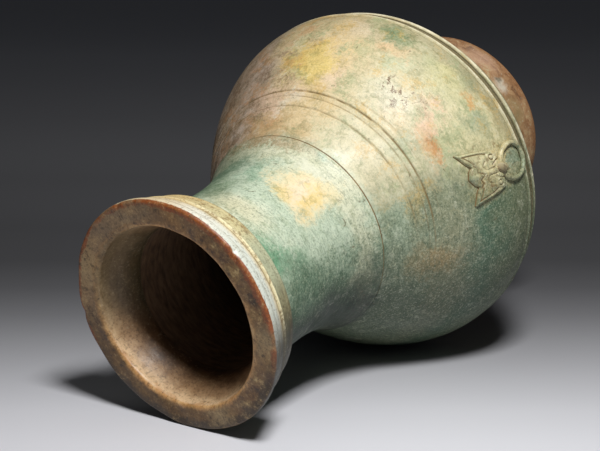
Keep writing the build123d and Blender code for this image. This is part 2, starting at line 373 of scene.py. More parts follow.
def fired(finish, glaze, dirt_and_shade_tint, roughness, pitting=0.35, filled=None):
    """Ends a finish: dirt and painted shadow in the hollows, bare clay where the mesh says so, uneven gloss
    and fine pitting.

    A hollow over 1 takes a darker brown still. On the ring the hollow is painted shadow near the wall.
    Where filled is given, the glaze covers the dirt by that share.
    """
    patchy = finish.step(finish.cloud(7.0), 0.34, 0.62, 0.9, low=0.15)
    # Dirt in the grooves, and painted shadow under the ring where it nears the wall.
    dirt_and_shade_share = finish.times(finish.step(finish.attribute("hollow"), 0.2, 0.95), patchy)
    if filled is not None:
        dirt_and_shade_share = finish.times(dirt_and_shade_share, finish.sum("SUBTRACT", 1.0, filled))
    glaze = finish.mix(dirt_and_shade_share, glaze, dirt_and_shade_tint)
    # Darker still in the cut lines and round the nose's base, and painted shadow under the ring.
    cut_lines_and_shade = finish.step(finish.attribute("hollow"), 1.1, 1.9, 0.9)
    glaze = finish.mix(cut_lines_and_shade, glaze, colour(54, 44, 30))
    rubbed = finish.cloud(5.0, detail=5.0, flat=0.3)
    clay = finish.fade(rubbed, (0.3, colour(66, 48, 33)), (0.7, colour(116, 90, 64)))
    bare = finish.attribute("bare")
    finish.give(finish.shader.inputs["Base Color"], finish.mix(bare, glaze, clay))
    uneven = finish.cloud(11.0, detail=4.0)
    gloss = finish.step(uneven, 0.3, 0.7, roughness + 0.12, low=roughness - 0.09)
    matt = finish.times(bare, 0.25)
    finish.give(finish.shader.inputs["Roughness"], finish.sum("ADD", gloss, matt, clamp=True))
    grain = finish.cloud(0.9, rough=0.6)
    swell = finish.cloud(4.5, flat=0.5)
    relief = finish.sum("ADD", finish.times(grain, 0.45), swell)
    bump = finish.add("Bump", {"Strength": pitting, "Distance": 0.0007, "Height": relief})
    finish.give(finish.shader.inputs["Normal"], bump.outputs["Normal"])
    return finish.material


terracotta = Finish("terracotta_glaze")
terracotta_where = ragged(terracotta, 9.0, 7.0, detail=5.0)
blotch = terracotta.cloud(9.0, terracotta_where, detail=6.0, rough=0.65, flat=0.45)
terracotta_tint = terracotta.fade(
    blotch,
    (0.30, colour(88, 62, 42)),
    (0.44, colour(146, 108, 74)),
    (0.56, colour(170, 134, 96)),
    (0.68, colour(182, 166, 126)),
)
terracotta_tint = patches(terracotta, terracotta_tint, terracotta_where, [
    (2, 22, 14, 7, (146, 130, 90), 0.65),
    (43, 16, 16, 8, (198, 162, 136), 0.55),
    (62, 26, 20, 8, (142, 120, 88), 0.5),
    (22, 22, 7, 5, (208, 198, 176), 0.8, 0.7),
    (25, 20, 3, 3, (88, 80, 62), 0.7, 0.6),
])
standing_edge = terracotta.step(height_mm(terracotta, terracotta_where), 9.0, 3.0, 0.5)
pale_fleck = terracotta.step(terracotta.cloud(1.2), 0.58, 0.74, 0.3)
terracotta_tint = terracotta.lay(terracotta_tint, (standing_edge, 158, 108, 70), (pale_fleck, 206, 204, 180))
foot_ring.data.materials.append(fired(terracotta, terracotta_tint, colour(74, 52, 36), 0.48))


# Lower body: a thrown earthenware bowl with the jar's floor, joined to the foot by a thin layer of slip.
# The lower bead of the belly band was drawn with a rib while the bowl turned.
lute_height = 1.5
bowl_foot = foot_top + lute_height
floor_level = 60.0
belly_seam = 126.0
belly_radius = 138.8
belly_inner = 129.6
bowl = bend((foot_top_radius, bowl_foot), 18.0, 24.0, (belly_radius, belly_seam), 80.0, 18.0)
bowl_outside, bowl_hollow, _ = tooled(bowl, [(120.6, 1.5, 1.2), (116.8, 1.0, -0.35), (124.0, 1.2, -0.45)])
bowl_base = np.array(((2.0, bowl_foot), (30.0, bowl_foot), (60.0, bowl_foot)))
bowl_outside = np.concatenate((bowl_base, bowl_outside))
bowl_hollow = np.concatenate((np.zeros(len(bowl_base)), bowl_hollow))
bowl_wall = beside(bowl, -wall_thickness)
bowl_wall = bowl_wall[bowl_wall[:, 1] > floor_level + 2.0][::25]
bowl_wall = bowl_wall[bowl_wall[:, 1] < belly_seam - 2.0]
floor_rise = np.array(((2.0, 0.0), (30.0, 0.0), (60.0, 0.0), (69.0, 0.2), (76.0, 1.0)))
bowl_floor = floor_rise + (0.0, floor_level)
bowl_inside = np.concatenate((bowl_floor, bowl_wall, ((belly_inner, belly_seam),)))
lower_body = thrown("lower_body_glazed", bowl_outside, bowl_inside, bowl_hollow, floor=True)
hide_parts("lower_body")

# The same glaze runs over the bowl, the shoulder and the neck. It is jade green where it lies thick, cream
# and ochre where it has weathered, and browner on the far side; azimuth 0 is the front mask's, 90 is +X.
jade = Finish("jade_glaze")
jade_where = ragged(jade, 1.2, 5.0, ragged(jade, 16.0, 12.0))
jade_fine = ragged(jade, 4.0, 5.0)
jade_height = height_mm(jade, jade_where)
jade_level = height_mm(jade, jade_fine)
jade_even = height_mm(jade, ragged(jade, 3.0, 0.8))


def outward(finish, where):
    """Level direction from the jar's axis to a position, of length 1, and the distance in metres."""
    level = finish.vector("MULTIPLY", where, (1.0, 1.0, 0.0))
    return finish.vector("NORMALIZE", level), finish.vector("LENGTH", level, output="Value")


def sector(finish, way, azimuth, half_angle, edge, high=1.0):
    """Share of a soft sector, up to high: the cosine of the angle from its middle, stepped at its edge."""
    angle = np.radians(azimuth)
    middle = (float(np.sin(angle)), float(-np.cos(angle)), 0.0)
    cosine = finish.vector("DOT_PRODUCT", way, middle, "Value")
    wide = float(np.cos(np.radians(half_angle + edge)))
    narrow = float(np.cos(np.radians(half_angle - edge)))
    return finish.step(cosine, wide, narrow, high)


jade_sector = partial(sector, jade, outward(jade, jade_where)[0])
left_tint = jade.fade(
    jade.step(jade_height, 130.0, 240.0),
    (0.10, colour(66, 96, 75)),
    (0.45, colour(80, 112, 88)),
    (0.70, colour(140, 144, 116)),
    (0.95, colour(124, 136, 110)),
)
brown_noise = jade.cloud(9.0, jade_fine, detail=6.0, rough=0.7, flat=0.6)
brown_tint = jade.fade(
    brown_noise,
    (0.33, colour(114, 86, 60)),
    (0.49, colour(168, 142, 114)),
    (0.64, colour(194, 174, 156)),
)
jade_tint = jade.mix(jade_sector(150, 74, 20), left_tint, brown_tint)
cream = jade_sector(38, 27, 13)
straw = jade_sector(74, 14, 13)
low_olive = jade.step(jade_height, 188.0, 148.0, 0.45)
jade_tint = jade.lay(jade_tint, (cream, 208, 198, 162), (straw, 216, 192, 148), (low_olive, 152, 146, 108))
neck_pale = jade_sector(38, 42, 22)
neck_tint = jade.mix(neck_pale, colour(100, 124, 98), colour(192, 205, 180))
neck_share = jade.step(jade_level, 246.0, 257.0)
jade_tint = jade.mix(neck_share, jade_tint, neck_tint)
jade_tint = patches(jade, jade_tint, jade_where, [
    (38, 289, 21, 19, (232, 212, 166), 0.95, 0.45),
    (40, 292, 9, 10, (234, 214, 188), 0.7),
    (31, 290, 7, 9, (226, 196, 116), 0.7),
    (48, 302, 7, 8, (224, 196, 122), 0.6),
    (26, 271, 9, 6, (220, 202, 146), 0.65, 0.7),
    (45, 266, 14, 5, (206, 218, 208), 0.7, 0.7),
    (50, 263, 80, 11, (222, 214, 180), 0.6),
    (68, 291, 8, 11, (132, 166, 138), 0.6, 0.7),
    (88, 318, 12, 20, (124, 146, 114), 0.6),
    (16, 350, 15, 10, (84, 146, 108), 0.85, 0.6),
    (4, 335, 12, 14, (104, 146, 114), 0.6),
    (-12, 330, 14, 20, (80, 112, 86), 0.6),
    (50, 342, 24, 13, (228, 226, 198), 0.8),
    (84, 254, 36, 5, (158, 116, 72), 0.6),
    (66, 247, 12, 6, (186, 160, 112), 0.5),
    (86, 242, 16, 9, (176, 138, 90), 0.6),
    (90, 226, 17, 9, (218, 184, 158), 0.75, 0.7),
    (79, 229, 9, 3.5, (226, 216, 194), 0.6),
    (74, 198, 20, 16, (222, 196, 118), 0.9, 0.5),
    (83, 195, 9, 11, (208, 174, 94), 0.8, 0.6),
    (64, 204, 9, 8, (228, 202, 178), 0.6),
    (100, 200, 24, 22, (168, 148, 132), 0.55),
    (112, 168, 32, 20, (156, 132, 112), 0.5),
    (98, 184, 8, 6, (172, 126, 80), 0.6),
    (40, 203, 14, 10, (222, 216, 194), 0.5),
    (19, 199, 16, 7, (204, 156, 106), 0.75),
    (13, 198, 6, 4, (184, 124, 62), 0.8, 0.7),
    (23, 190, 17, 6, (220, 180, 148), 0.75),
    (51, 168, 14, 5.5, (224, 186, 142), 0.7),
    (21, 162, 6, 4, (206, 156, 98), 0.7),
    (30, 170, 20, 12, (196, 192, 144), 0.6),
    (55, 150, 11, 10, (112, 132, 94), 0.85, 0.7),
    (11, 176, 14, 8, (142, 162, 134), 0.6),
    (47, 176, 9, 7, (176, 188, 152), 0.55),
    (24, 214, 9, 12, (176, 184, 152), 0.6),
    (-30, 212, 50, 7, (160, 152, 118), 0.5),
    (-28, 217, 12, 18, (168, 138, 88), 0.75, 0.7),
    (-18, 226, 30, 4, (150, 152, 122), 0.5),
    (-5, 238, 18, 9, (168, 182, 156), 0.6),
    (9, 163, 33, 31, (208, 197, 152), 0.85, 0.35),
    (-5, 178, 12, 14, (178, 162, 116), 0.6, 0.6),
    (-0.6, 151, 8, 9, (122, 144, 124), 0.75, 0.45),
    (66, 158, 15, 10, (214, 196, 168), 0.5),
    (20, 141, 44, 9, (150, 140, 102), 0.55),
    (15, 168.5, 11, 8, (124, 146, 122), 0.6),
    (22, 161, 7, 4, (200, 146, 80), 0.7),
    (15.6, 193, 7, 5, (184, 122, 56), 0.8, 0.7),
    (33, 158, 14, 8, (206, 198, 140), 0.5),
    (35, 212, 15, 8, (200, 174, 126), 0.5),
])
jade_tint = patches(jade, jade_tint, jade_fine, [
    (27, 150, 10, 7, (146, 152, 118), 0.5),
    (41, 160, 9, 8, (176, 178, 138), 0.5),
    (58, 340, 22, 10, (188, 180, 138), 0.5),
    (80, 330, 12, 10, (112, 128, 98), 0.55),
])

# Rust and umber stain the brown side, ochre and olive the cream side. Painted shade darkens the lower left,
# darkest under the neck; the belly band is darker brown between its beads, and the beads carry a painted
# highlight on the lit side.
under_neck = jade.step(jade_level, 252.0, 244.0)
brown_side = jade.times(jade_sector(112, 34, 12), under_neck)
rust_noise = jade.cloud(10.0, jade_where, detail=6.0, rough=0.7)
rust = jade.times(jade.step(rust_noise, 0.52, 0.64, 0.6), brown_side)
umber = jade.times(jade.step(rust_noise, 0.47, 0.36, 0.6), brown_side)
cream_side = jade.times(jade_sector(44, 44, 12), under_neck)
stain_noise = jade.cloud(13.0, jade_where, detail=6.0, rough=0.65)
ochre_stain = jade.times(jade.step(stain_noise, 0.52, 0.66, 0.6), cream_side)
olive_stain = jade.times(jade.step(stain_noise, 0.47, 0.34, 0.6), cream_side)
# Painted shade on the lower left, which faces the table, and darkest under the neck.
lower_left_painted_shade = jade_sector(-95, 64, 18, 0.6)
neck_painted_shade = jade.times(jade_sector(-95, 62, 20, 0.8), neck_share)
# The belly band is darker brown between its beads.
belly_band = jade.times(jade.step(jade_even, 123.4, 124.6), jade.step(jade_even, 134.6, 133.4, 0.75))
# Painted highlight along the belly band's two beads on the lit side, broken up by noise.
lower_bead_highlight = jade.times(jade.step(jade_even, 119.0, 120.2), jade.step(jade_even, 123.0, 121.8))
upper_bead_highlight = jade.times(jade.step(jade_even, 134.4, 135.0), jade.step(jade_even, 136.8, 136.0, 0.6))
bead_highlights = jade.sum("ADD", lower_bead_highlight, upper_bead_highlight)
bead_painted_highlight = jade.times(bead_highlights, jade_sector(40, 52, 14))
bead_highlight_breakup = jade.step(jade.cloud(5.0, detail=5.0, rough=0.65), 0.38, 0.60, 0.9, low=0.25)
# Stains, painted shade, the darker belly band and the painted bead highlight, in turn.
jade_tint = jade.lay(
    jade_tint,
    (rust, 190, 138, 92),
    (umber, 112, 82, 56),
    (ochre_stain, 206, 168, 92),
    (olive_stain, 158, 168, 124),
    (lower_left_painted_shade, 50, 64, 50),
    (neck_painted_shade, 20, 27, 20),
    (belly_band, 104, 92, 62),
    (jade.times(bead_painted_highlight, bead_highlight_breakup), 232, 222, 192),
)

# Mottling lies over all of it. Streaks, specks and a coarse grain are strongest where the glaze is green, and
# the neck's two pale patches are mostly clear of them. Pits and dark scratches come last.
mottle = jade.cloud(6.0, jade_fine, detail=6.0, rough=0.7, flat=0.4)
dark_mottle = jade.step(mottle, 0.54, 0.32, 0.5)
jade_tint = jade.mix(dark_mottle, jade_tint, colour(150, 164, 136), "MULTIPLY")
green_side = jade.step(jade_sector(-95, 97, 14), 0.0, 1.0, low=0.3)
neck_green = jade.sum("MAXIMUM", green_side, jade.times(neck_share, 0.65))
clear_share = patches(jade, (0.0, 0.0, 0.0, 1.0), jade_where, [
    (38, 289, 22, 20, (255, 255, 255), 0.8, 0.5),
    (45, 266, 15, 6, (255, 255, 255), 0.7, 0.6),
])
grained = jade.times(neck_green, jade.sum("SUBTRACT", 1.0, clear_share))
lit_grained = jade.times(grained, jade.sum("SUBTRACT", 1.0, neck_painted_shade))
streak = jade.cloud(3.2, detail=4.0, rough=0.65, flat=0.2)
speck = jade.cloud(0.7, rough=0.7)
coarse = jade.cloud(2.0, detail=6.0, rough=0.85, flat=0.7)
pit_sockets = {"Vector": jade_fine, "Scale": 62.0, "Randomness": 1.0}
pit = jade.add("TexVoronoi", pit_sockets).outputs["Distance"]
scratched = jade.step(jade.cloud(3.0, jade_fine, detail=5.0, rough=0.75), 0.53, 0.60)
scratch_share = patches(jade, (0.0, 0.0, 0.0, 1.0), jade_where, [
    (39, 197, 12, 11, (255, 255, 255), 1.0, 0.6),
    (31, 191, 6, 5, (255, 255, 255), 0.8, 0.6),
    (30, 216, 5, 4, (255, 255, 255), 0.7, 0.7),
    (0, 172, 19, 20, (255, 255, 255), 0.75, 0.5),
])
jade_tint = jade.lay(
    jade_tint,
    (jade.step(mottle, 0.54, 0.74, 0.35), 228, 228, 206),
    (jade.times(jade.step(streak, 0.52, 0.34, 0.5), grained), 74, 92, 70),
    (jade.times(jade.step(speck, 0.49, 0.34, 0.62), grained), 52, 74, 56),
    (jade.times(jade.step(speck, 0.53, 0.70, 0.36), lit_grained), 216, 220, 196),
    (jade.times(jade.step(coarse, 0.48, 0.30, 0.6), grained), 40, 72, 52),
    (jade.times(jade.step(coarse, 0.53, 0.72, 0.55), lit_grained), 214, 216, 180),
    (jade.step(pit, 0.10, 0.05, 0.6), 92, 76, 50),
    (jade.times(scratch_share, scratched), 112, 88, 56),
)
upper_shoulder = jade.step(jade_height, 200.0, 208.0)
jade_filled = jade.times(jade_sector(-90, 74, 18), upper_shoulder)
jade_material = fired(jade, jade_tint, colour(122, 100, 60), 0.5, filled=jade_filled)
lower_body.data.materials.append(jade_material)


# Upper body: the shoulder, thrown as a second bowl and turned over onto the first.
# The belly band's upper bead and the thin lines under the neck were tooled while the jar turned.
shoulder_foot = belly_seam + lute_height
neck_seam = 252.0
neck_seam_radius = 79.6
neck_seam_inner = 69.6
shoulder = bend((belly_radius, shoulder_foot), 72.0, 47.0, (neck_seam_radius, neck_seam), 115.0, 20.0)
shoulder_marks = [
    (135.4, 1.2, 1.0),
    (138.4, 0.9, -0.35),
    (131.2, 2.4, -0.5),
    (214.0, 0.7, -0.3),
    (217.6, 0.8, 0.25),
    (218.9, 0.6, -0.7),
    (220.4, 0.7, 0.22),
    (222.6, 0.55, -0.4),
    (228.4, 0.7, 0.18),
    (229.8, 0.6, -0.42),
]
shoulder_outside, shoulder_hollow, shoulder_plain = tooled(shoulder, shoulder_marks)


lines_from = 205.0
most_filled = 0.85


def glaze_filled(azimuth, radius, height):
    """Lines under the neck, filled by glaze on the lower left: a share of each row's tooling is undone.

    The share rises over 24 degrees from azimuth -4 and ends over 30 degrees at azimuth -175.
    """
    turned = (np.degrees(azimuth) + 180.0) % 360.0 - 180.0
    begins = np.clip((-4.0 - turned) / 24.0, 0.0, 1.0)
    ends = np.clip((turned + 175.0) / 30.0, 0.0, 1.0)
    share = most_filled * begins * ends
    rows = len(shoulder_plain)
    taken = np.where(shoulder_plain[:, 1:] > lines_from, shoulder_plain - shoulder_outside, 0.0)
    radius[:rows] += share[:rows] * taken[:, :1]
    height[:rows] += share[:rows] * taken[:, 1:]
    return radius, height


shoulder_wall = beside(shoulder, -wall_thickness)[45:-45:24]
shoulder_inside = np.concatenate((
    ((belly_inner, shoulder_foot),), shoulder_wall, ((neck_seam_inner, neck_seam),)
))
upper_body = thrown(
    "upper_body_glazed", shoulder_outside, shoulder_inside, shoulder_hollow, columns=330, wear=glaze_filled
)
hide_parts("upper_body")
upper_body.data.materials.append(jade_material)


# Neck: a thrown trumpet of the same clay and glaze, luted to the shoulder. A small bead of clay was pressed
# out at its base, and a line was drawn round under its top.
neck_thickness = 8.5
neck_foot = neck_seam + lute_height
collar_seam = 363.5
collar_seam_radius = 64.6
collar_seam_inner = 56.1
trumpet = bend((neck_seam_radius, neck_foot), 119.8, 40.5, (collar_seam_radius, collar_seam), 89.3, 41.6)
trumpet_outside, trumpet_hollow, _ = tooled(trumpet, [(255.6, 1.2, 0.35), (361.5, 1.4, -0.4)], spacing=1.3)
trumpet_wall = beside(trumpet, -neck_thickness)
between_ends = (trumpet_wall[:, 1] > neck_foot + 2.5) & (trumpet_wall[:, 1] < collar_seam - 2.5)
trumpet_wall = trumpet_wall[between_ends][::24]
trumpet_inside = np.concatenate((
    ((neck_seam_inner, neck_foot),), trumpet_wall, ((collar_seam_inner, collar_seam),)
))
neck = thrown("neck_glazed", trumpet_outside, trumpet_inside, trumpet_hollow, columns=360)
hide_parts("neck")
neck.data.materials.append(jade_material)


# Mouth collar: a stepped band with a bead and an overhanging flat lip, thrown from the same clay and luted
# onto the neck. Its inside narrows to the neck's.
collar_foot = collar_seam + lute_height
lip_top = 400.0
lip_radius = 85.0
lip_rounding = 2.1
mouth_bore = 66.0
mouth_rounding = 3.6
collar_turns = np.array(((75.4, collar_foot), (79.6, 380.0), (84.5, 393.8)))
collar_reach = np.linspace(0.0, 2.0, 400)
collar_wall = np.column_stack([np.interp(collar_reach, (0.0, 1.0, 2.0), turns) for turns in collar_turns.T])
collar_marks = [
    (366.2, 0.9, 0.3),
    (369.0, 0.8, -0.3),
    (380.0, 1.3, 0.75),
    (382.8, 0.6, -0.5),
    (391.5, 1.5, -0.3),
]
collar_band, collar_hollow, _ = tooled(collar_wall, collar_marks, spacing=0.9)
quarter = np.radians(np.linspace(0.0, 90.0, 7))
lip_under = np.array(((84.75, 394.6), (84.95, 395.6), (85.0, 396.6), (85.0, 397.4)))
lip_centre = np.array((lip_radius - lip_rounding, lip_top - lip_rounding))
lip_round = lip_centre + lip_rounding * np.column_stack((np.cos(quarter), np.sin(quarter)))
lip_flat = np.column_stack((np.linspace(82.3, 70.2, 20), np.full(20, lip_top)))
lip_edge = np.concatenate((lip_under, lip_round, lip_flat))
mouth_centre = np.array((mouth_bore + mouth_rounding, lip_top - mouth_rounding))
mouth_round = mouth_centre + mouth_rounding * np.column_stack((-np.sin(quarter), np.cos(quarter)))
mouth_wall = bend((collar_seam_inner, collar_foot), 90.0, 16.0, tuple(mouth_round[-1]), 90.0, 11.0, count=34)
collar_outside = np.concatenate((collar_band, lip_edge))
collar_inside = np.concatenate((mouth_wall, mouth_round[::-1][1:]))


lip_bites = ((27.2, 1.8, 1.6), (-52.0, 1.4, 0.8), (96.0, 1.8, 0.9), (171.0, 2.2, 1.1))


def lip_wear(azimuth, radius, height):
    """Wear of the lip: soft unevenness of its flat face, and bites out of its edge.

    A bite is (azimuth, half width in degrees, depth in mm), a bell curve round the lip.
    """
    on_lip = np.clip((height - 394.0) / 5.0, 0.0, 1.0)
    uneven = 0.18 * np.sin(9 * azimuth + 0.11 * radius) + 0.14 * np.sin(17 * azimuth - 0.3 * radius + 1.0)
    lower = on_lip * (0.3 + uneven)
    outer = np.clip((radius - 80.5) / 4.5, 0.0, 1.0)
    for degrees, width, bite in lip_bites:
        off = (np.degrees(azimuth) - degrees + 180.0) % 360.0 - 180.0
        lower = lower + on_lip * outer * bite * np.exp(-((off / width) ** 2))
    return radius - 0.5 * on_lip * outer * lower, height - lower


mouth_collar = thrown(
    "mouth_collar_glazed", collar_outside, collar_inside, collar_hollow, columns=480, wear=lip_wear,
    bare_inside=False
)
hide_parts("mouth_collar")

# The glaze is silvery on the band under the lip and pale yellow on the bead, with near-black painted
# shade on its lower left. It is worn to brown on the lip and red-brown along the lip's outer edge, which
# has painted shade on its lower side; inside the mouth it is thin and tan, and painted shade darkens it
# deeper in.
mouth = Finish("mouth_glaze")
mouth_where = ragged(mouth, 5.0, 2.2, detail=5.0)
mouth_even = height_mm(mouth, ragged(mouth, 3.0, 0.35))
mouth_way, mouth_radius = outward(mouth, mouth_where)
mouth_sector = partial(sector, mouth, mouth_way)
band_start = 363.0
band_span = 38.0
level_share = mouth.sum("DIVIDE", mouth.sum("SUBTRACT", mouth_even, band_start), band_span)
band_tint = mouth.fade(
    level_share,
    (0.04, colour(98, 70, 42)),
    (0.08, colour(194, 182, 136)),
    (0.40, colour(210, 200, 154)),
    (0.46, colour(238, 228, 186)),
    (0.505, colour(206, 192, 148)),
    (0.54, colour(158, 136, 96)),
    (0.58, colour(222, 212, 182)),
    (0.66, colour(226, 223, 206)),
    (0.92, colour(222, 220, 205)),
)
stain = mouth.step(mouth.cloud(7.0, mouth_where, detail=6.0, rough=0.65), 0.50, 0.68, 0.55)
trickle_noise = mouth.cloud(2.6, mouth_where, detail=5.0, rough=0.7)
trickle_level = mouth.step(level_share, 0.56, 0.52)
trickle = mouth.times(mouth.step(trickle_noise, 0.51, 0.60, 0.7), trickle_level)
silver_level = mouth.step(level_share, 0.60, 0.68, 0.6)
silver = mouth.times(mouth_sector(12, 24, 16), silver_level)
under_bead = mouth.step(level_share, 0.46, 0.38)
band_green = mouth.times(mouth_sector(13, 15, 9, 0.65), under_bead)
band_olive = mouth.times(mouth_sector(-10, 12, 8, 0.7), under_bead)
band_top = mouth_sector(92, 28, 14, 0.65)
# Painted shade on the band's lower left, which faces the table.
band_painted_shade = mouth_sector(-86, 72, 13, 0.92)
band_tint = mouth.lay(
    band_tint,
    (stain, 182, 168, 126),
    (trickle, 136, 108, 66),
    (silver, 198, 208, 198),
    (band_green, 166, 178, 152),
    (band_olive, 126, 120, 90),
    (band_top, 206, 176, 118),
    (band_painted_shade, 30, 32, 22),
)
lip_noise = mouth.cloud(8.0, mouth_where, detail=7.0, rough=0.7)
lip_tint = mouth.fade(
    lip_noise,
    (0.35, colour(44, 31, 20)),
    (0.45, colour(96, 70, 43)),
    (0.53, colour(118, 90, 58)),
    (0.60, colour(134, 110, 75)),
    (0.70, colour(186, 166, 130)),
)
lip_blotch = mouth.cloud(22.0, mouth_where, detail=4.0, rough=0.6)
lilac = mouth_sector(122, 44, 22, 0.5)
ochre_left = mouth_sector(-130, 36, 20, 0.7)
outer_lip = mouth.step(mouth_radius, 0.0765, 0.0805)
# Painted shade on the lip's outer edge, on its lower side toward the table.
lip_outer_painted_shade = mouth.times(mouth_sector(-100, 66, 16, 0.75), outer_lip)
outer_rim = mouth.step(mouth_radius, 0.0790, 0.0815)
outer_orange = mouth.times(mouth_sector(18, 28, 12, 0.85), outer_rim)
lip_tint = mouth.lay(
    lip_tint,
    (mouth.step(lip_blotch, 0.50, 0.36, 0.6), 72, 52, 33),
    (mouth.step(lip_blotch, 0.54, 0.70, 0.5), 160, 136, 102),
    (lilac, 172, 152, 132),
    (ochre_left, 108, 82, 44),
    (lip_outer_painted_shade, 54, 42, 24),
    (outer_orange, 142, 80, 36),
)
lip_tint = patches(mouth, lip_tint, mouth_where, [
    (-83, 400, 9, 9, (176, 158, 128), 0.6),
    (-18, 400, 9, 9, (170, 152, 122), 0.6),
    (143, 400, 12, 9, (188, 166, 130), 0.5),
    (61, 400, 16, 9, (150, 116, 80), 0.5),
])
worn_edge = mouth.step(mouth_radius, 0.0722, 0.0690, 0.5)
lip_tint = mouth.mix(worn_edge, lip_tint, colour(150, 116, 76))
on_lip = mouth.step(mouth_even, 397.7, 398.2)
mouth_tint = mouth.mix(on_lip, band_tint, lip_tint)
edge_noise = mouth.step(lip_noise, 0.38, 0.56, 0.95, low=0.2)
edge_reach = mouth.step(mouth_radius, 0.0808, 0.0824)
edge_level = mouth.times(mouth.step(mouth_even, 397.3, 397.7), edge_reach)
# The lip's edge is red-brown, with painted shade on its lower side.
edge_tint_and_shade = mouth.mix(mouth_sector(-100, 72, 16), colour(140, 76, 36), colour(56, 42, 24))
mouth_tint = mouth.mix(mouth.times(edge_level, edge_noise), mouth_tint, edge_tint_and_shade)
# Inside the mouth, painted shade darkens the tan glaze deeper in; it is palest just under the lip.
inner_noise = mouth.cloud(7.0, detail=7.0, rough=0.7, flat=0.6)
inner_shift = mouth.times(mouth.sum("SUBTRACT", inner_noise, 0.5), 0.7)
inside_tint_with_shade = mouth.fade(
    mouth.sum("ADD", level_share, inner_shift),
    (0.05, colour(60, 43, 30)),
    (0.35, colour(116, 86, 60)),
    (0.62, colour(178, 144, 110)),
    (0.84, colour(226, 196, 160)),
    (0.96, colour(196, 154, 112)),
)
inner_olive = mouth_sector(138, 38, 24, 0.8)
inside_tint_with_shade = mouth.mix(inner_olive, inside_tint_with_shade, colour(84, 76, 54))
inside_share = mouth.step(mouth_radius, 0.0706, 0.0668)
mouth_tint = mouth.mix(inside_share, mouth_tint, inside_tint_with_shade)
mouth_grain = mouth.cloud(0.9, detail=2.0, rough=0.6)
worn_share = mouth.sum("MAXIMUM", on_lip, mouth.times(inside_share, 0.4))
wear_grain = mouth.cloud(2.8, detail=6.0, rough=0.82)
mouth_tint = mouth.lay(
    mouth_tint,
    (mouth.step(mouth_grain, 0.47, 0.34, 0.42), 78, 62, 44),
    (mouth.step(mouth_grain, 0.57, 0.72, 0.22), 206, 192, 166),
    (mouth.times(mouth.step(wear_grain, 0.49, 0.36, 0.72), worn_share), 46, 32, 20),
    (mouth.times(mouth.step(wear_grain, 0.54, 0.70, 0.6), worn_share), 200, 178, 142),
)
mouth_tint = mouth.mix(worn_share, mouth_tint, colour(250, 238, 208), "MULTIPLY")
mouth_collar.data.materials.append(fired(mouth, mouth_tint, colour(118, 94, 58), 0.46))


# Luting clay: the slip that holds the sections together, a thin ring in each joint. At the belly and the neck
# it lies back from the surface, where a line was drawn round over the joint.
def luting_ring(name, height, outer, inner, setback):
    """Ring of slip in a joint: a shallow hollow profile, half a sine wave, between two flat faces."""
    rise = np.linspace(0.0, lute_height, 7)
    hollow = 0.25 * np.sin(np.pi * rise / lute_height)
    outside = np.column_stack((outer - setback - hollow, height + rise))
    inside = np.column_stack((np.full(2, inner), height + np.array((0.0, lute_height))))
    piece = thrown(name + "_slip", outside, inside, np.ones(len(rise)), columns=320)
    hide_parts(name)
    return piece


luting = [
    luting_ring("lute_foot", foot_top, foot_top_radius, foot_top_inner, 0.0),
    luting_ring("lute_belly", belly_seam, belly_radius, belly_inner, 1.0),
    luting_ring("lute_neck", neck_seam, neck_seam_radius, neck_seam_inner, 0.45),
    luting_ring("lute_collar", collar_seam, collar_seam_radius, collar_seam_inner, 0.0),
]
slip = Finish("fired_slip")
slip_noise = slip.cloud(6.0, detail=5.0, flat=0.5)
slip_tint = slip.fade(
    slip_noise,
    (0.3, colour(92, 74, 46)),
    (0.55, colour(132, 108, 68)),
    (0.75, colour(166, 144, 100)),
)
slip_material = fired(slip, slip_tint, colour(112, 86, 50), 0.6)
for piece in luting:
    piece.data.materials.append(slip_material)


# Beast masks: a plaque with horns, crest, curled eyes and a round nose, pressed in a mould and luted to the
# shoulder, the same on both sides of the jar. The jar's glaze runs over them, with dark dirt in the hollows;
# the cut lines and the nose's base are darker still.
sides = ((0, "front"), (1, "back"))
half_outline = np.array((
    (0.0, 0.0), (5.5, -2.3), (8.0, -5.0), (10.5, -2.8), (15.0, -0.8), (20.8, 1.8),
    (19.7, -4.0), (18.0, -12.5), (16.2, -21.0), (14.5, -25.0), (8.0, -25.6), (0.0, -26.0),
))
crest_peak = 191.0
plaque_middle = np.array((0.0, -13.0))
plaque_back = 0.95
plaque_edge_stand = 1.7
eye_across = 10.4
eye_below = 20.6
nose_below = 25.5
nose_radius = 4.5
nose_stand_off = 2.9
nose_depth = 4.2


def plaque_edge(grow, count=420, soften=7):
    """Outline of the plaque by arc length, grown by some mm, its corners softened by a running mean."""
    whole = np.concatenate((half_outline, half_outline[-2:0:-1] * (-1.0, 1.0), half_outline[:1]))
    reach = np.concatenate(([0.0], np.cumsum(np.linalg.norm(np.diff(whole, axis=0), axis=1))))
    spots = np.linspace(0.0, reach[-1], count, endpoint=False)
    edge = np.column_stack([np.interp(spots, reach, whole[:, axis]) for axis in (0, 1)])
    edge = np.mean([np.roll(edge, shift, axis=0) for shift in range(-(soften // 2), soften // 2 + 1)], axis=0)
    along = np.roll(edge, -1, axis=0) - np.roll(edge, 1, axis=0)
    along /= np.linalg.norm(along, axis=1)[:, None]
    return edge + grow * np.column_stack((-along[:, 1], along[:, 0]))


def stroke(u, v, points, half_width):
    """Share from 0 to 1 along a run of points: a bell curve of the distance from it."""
    nearest = np.full(u.shape, 1e9)
    for (u0, v0), (u1, v1) in zip(points[:-1], points[1:]):
        du, dv = u1 - u0, v1 - v0
        share = np.clip(((u - u0) * du + (v - v0) * dv) / (du * du + dv * dv), 0.0, 1.0)
        nearest = np.minimum(nearest, np.hypot(u - u0 - share * du, v - v0 - share * dv))
    return np.exp(-((nearest / half_width) ** 2))


